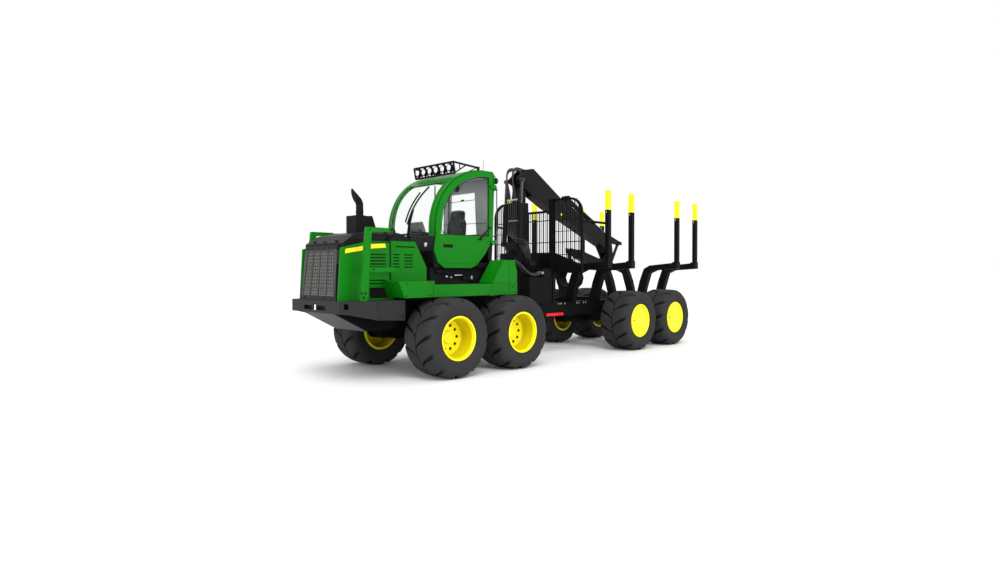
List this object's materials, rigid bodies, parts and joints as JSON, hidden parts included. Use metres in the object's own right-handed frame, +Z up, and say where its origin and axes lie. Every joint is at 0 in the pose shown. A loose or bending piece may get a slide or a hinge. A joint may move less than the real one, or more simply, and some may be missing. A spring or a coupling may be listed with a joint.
{
  "type": "forestry forwarder",
  "caption": "Articulated off-road log carrier with green hood, dark cab, folded loading crane with grapple, barred headboard and staked log bunks on big lugged wheels.",
  "frame": {"origin": "on the ground, below the middle of the machine's length and width", "axes": "+X forward to the hood's front, +Y to the machine's left, the side of the cab door, +Z up"},
  "size_m": [9.7, 2.9, 3.8886],
  "materials": {
    "tyre_rubber": "matte",
    "wheel_yellow": "semi-gloss",
    "body_green": "semi-gloss",
    "body_black": "satin",
    "chassis_black": "satin",
    "tip_yellow": "semi-gloss",
    "warning_red": "semi-gloss",
    "exhaust_steel": "satin",
    "rod_chrome": "polished",
    "seat_dark": "matte",
    "window_glass": "clear"
  },
  "bodies": {
    "front_frame": {"front_frame": "chassis_black", "front_axle": "chassis_black", "skirt": "body_black", "engine_block": "chassis_black", "hood_top": "body_black", "hood_sides": "body_green", "hood_rear": "body_green", "grille": "body_black", "exhaust": "exhaust_steel", "access_rails": "body_green", "deck_centre": "body_black", "deck_sides": "body_green", "rear_tanks": "body_green", "cab_shell": "body_green", "cab_glass": "window_glass", "cab_base": "body_black", "operator_station": "seat_dark", "light_bar": "body_black"},
    "cab_door": {"cab_door": "body_green", "door_glass": "window_glass"},
    "pivot_link": {"pivot_link": "chassis_black"},
    "rear_frame": {"rear_frame": "chassis_black", "rear_axle": "chassis_black", "bunks": "chassis_black", "stakes": "chassis_black", "stake_tips": "tip_yellow", "headboard": "chassis_black", "crane_base": "chassis_black", "side_chests": "chassis_black", "lock_bar": "warning_red"},
    "crane_pillar": {"crane_pillar": "chassis_black"},
    "main_boom": {"main_boom": "chassis_black"},
    "stick": {"stick": "chassis_black"},
    "stick_extension": {"stick_extension": "chassis_black"},
    "rotator": {"rotator": "chassis_black"},
    "grapple_head": {"grapple_head": "chassis_black"},
    "claw_left": {"claw_left": "chassis_black"},
    "claw_right": {"claw_right": "chassis_black"},
    "lift_barrels": {"lift_barrels": "chassis_black"},
    "lift_rods": {"lift_rods": "rod_chrome"},
    "stick_barrel": {"stick_barrel": "chassis_black"},
    "stick_rod": {"stick_rod": "rod_chrome"},
    "bell_crank": {"bell_crank": "chassis_black"},
    "stick_link": {"stick_link": "chassis_black"},
    "wheel_left_1": {"tyre_left_1": "tyre_rubber", "rim_left_1": "wheel_yellow"},
    "wheel_left_2": {"tyre_left_2": "tyre_rubber", "rim_left_2": "wheel_yellow"},
    "wheel_left_3": {"tyre_left_3": "tyre_rubber", "rim_left_3": "wheel_yellow"},
    "wheel_left_4": {"tyre_left_4": "tyre_rubber", "rim_left_4": "wheel_yellow"},
    "wheel_right_1": {"tyre_right_1": "tyre_rubber", "rim_right_1": "wheel_yellow"},
    "wheel_right_2": {"tyre_right_2": "tyre_rubber", "rim_right_2": "wheel_yellow"},
    "wheel_right_3": {"tyre_right_3": "tyre_rubber", "rim_right_3": "wheel_yellow"},
    "wheel_right_4": {"tyre_right_4": "tyre_rubber", "rim_right_4": "wheel_yellow"}
  },
  "joints": [
    {"name": "cab_door_hinge", "type": "hinge", "parent": "front_frame", "child": "cab_door", "pos_m": [1.592, 0.722, 2.92], "axis": [0, 0, 1], "range_deg": [0, 85]},
    {"name": "steering", "type": "hinge", "parent": "front_frame", "child": "pivot_link", "pos_m": [0.78, 0, 0.95], "axis": [0, 0, 1], "range_deg": [-44, 44]},
    {"name": "frame_roll", "type": "hinge", "parent": "pivot_link", "child": "rear_frame", "pos_m": [0.4, 0, 0.95], "axis": [1, 0, 0], "range_deg": [-15, 15]},
    {"name": "wheel_left_1_spin", "type": "hinge", "parent": "front_frame", "child": "wheel_left_1", "pos_m": [3.08, 1.09, 0.652], "axis": [0, 1, 0], "continuous": true},
    {"name": "wheel_left_2_spin", "type": "hinge", "parent": "front_frame", "child": "wheel_left_2", "pos_m": [1.58, 1.09, 0.652], "axis": [0, 1, 0], "continuous": true},
    {"name": "wheel_left_3_spin", "type": "hinge", "parent": "rear_frame", "child": "wheel_left_3", "pos_m": [-2.224, 1.09, 0.652], "axis": [0, 1, 0], "continuous": true},
    {"name": "wheel_left_4_spin", "type": "hinge", "parent": "rear_frame", "child": "wheel_left_4", "pos_m": [-3.724, 1.09, 0.652], "axis": [0, 1, 0], "continuous": true},
    {"name": "wheel_right_1_spin", "type": "hinge", "parent": "front_frame", "child": "wheel_right_1", "pos_m": [3.08, -1.09, 0.652], "axis": [0, 1, 0], "continuous": true},
    {"name": "wheel_right_2_spin", "type": "hinge", "parent": "front_frame", "child": "wheel_right_2", "pos_m": [1.58, -1.09, 0.652], "axis": [0, 1, 0], "continuous": true},
    {"name": "wheel_right_3_spin", "type": "hinge", "parent": "rear_frame", "child": "wheel_right_3", "pos_m": [-2.224, -1.09, 0.652], "axis": [0, 1, 0], "continuous": true},
    {"name": "wheel_right_4_spin", "type": "hinge", "parent": "rear_frame", "child": "wheel_right_4", "pos_m": [-3.724, -1.09, 0.652], "axis": [0, 1, 0], "continuous": true},
    {"name": "crane_slew", "type": "hinge", "parent": "rear_frame", "child": "crane_pillar", "pos_m": [0.22, 0, 2.1], "axis": [0, 0, 1], "range_deg": [-18, 18]},
    {"name": "boom_lift", "type": "hinge", "parent": "crane_pillar", "child": "main_boom", "pos_m": [0.08, 0, 3.56], "axis": [0, 1, 0], "range_deg": [0, 80]},
    {"name": "stick_swing", "type": "hinge", "parent": "main_boom", "child": "stick", "pos_m": [-2.92, 0, 2.13], "axis": [0, 1, 0], "range_deg": [0, 150]},
    {"name": "stick_slide", "type": "slide", "parent": "stick", "child": "stick_extension", "axis": [0.9701, 0, 0.2425], "range_m": [0, 0.8]},
    {"name": "grapple_swing", "type": "hinge", "parent": "stick_extension", "child": "rotator", "pos_m": [-1.49, 0, 2.1975], "axis": [0, 1, 0], "range_deg": [-230, 0]},
    {"name": "rotator_turn", "type": "hinge", "parent": "rotator", "child": "grapple_head", "pos_m": [-1.49, 0, 1.9135], "axis": [0, 0, 1], "continuous": true},
    {"name": "claw_left_swing", "type": "hinge", "parent": "grapple_head", "child": "claw_left", "pos_m": [-1.49, 0.08, 1.8345], "axis": [1, 0, 0], "range_deg": [0, 70]},
    {"name": "claw_right_swing", "type": "hinge", "parent": "grapple_head", "child": "claw_right", "pos_m": [-1.49, -0.08, 1.8345], "axis": [1, 0, 0], "range_deg": [-70, 0]},
    {"name": "lift_barrel_tilt", "type": "hinge", "parent": "crane_pillar", "child": "lift_barrels", "pos_m": [0.41, 0, 2.29], "axis": [0, 1, 0], "range_deg": [-10, 0]},
    {"name": "lift_rod_slide", "type": "slide", "parent": "lift_barrels", "child": "lift_rods", "axis": [-0.061, 0, 0.9981], "range_m": [-0.2525, 0]},
    {"name": "stick_barrel_tilt", "type": "hinge", "parent": "main_boom", "child": "stick_barrel", "pos_m": [-1.35, 0, 3.39], "axis": [0, 1, 0], "range_deg": [-2.1, 0]},
    {"name": "stick_rod_slide", "type": "slide", "parent": "stick_barrel", "child": "stick_rod", "axis": [-0.8974, 0, -0.4412], "range_m": [-0.199, 0]},
    {"name": "crank_swing", "type": "hinge", "parent": "main_boom", "child": "bell_crank", "pos_m": [-2.896, 0, 2.486], "axis": [0, 1, 0], "range_deg": [0, 90.58]},
    {"name": "link_swing", "type": "hinge", "parent": "bell_crank", "child": "stick_link", "pos_m": [-3.404, 0, 2.435], "axis": [0, 1, 0], "range_deg": [-60.45, 0]}
  ],
  "couplings": [
    {"joint": "stick_swing", "follows": "boom_lift", "ratio": 1.875},
    {"joint": "stick_slide", "follows": "boom_lift", "m_per_rad": 0.57296},
    {"joint": "grapple_swing", "follows": "boom_lift", "ratio": -2.875},
    {"joint": "lift_barrel_tilt", "follows": "boom_lift", "ratio": -0.125},
    {"joint": "lift_rod_slide", "follows": "boom_lift", "m_per_rad": -0.18084},
    {"joint": "stick_barrel_tilt", "follows": "boom_lift", "ratio": -0.02625},
    {"joint": "stick_rod_slide", "follows": "boom_lift", "m_per_rad": -0.14252},
    {"joint": "crank_swing", "follows": "boom_lift", "ratio": 1.1323},
    {"joint": "link_swing", "follows": "boom_lift", "ratio": -0.75562},
    {"joint": "claw_right_swing", "follows": "claw_left_swing", "ratio": -1}
  ]
}
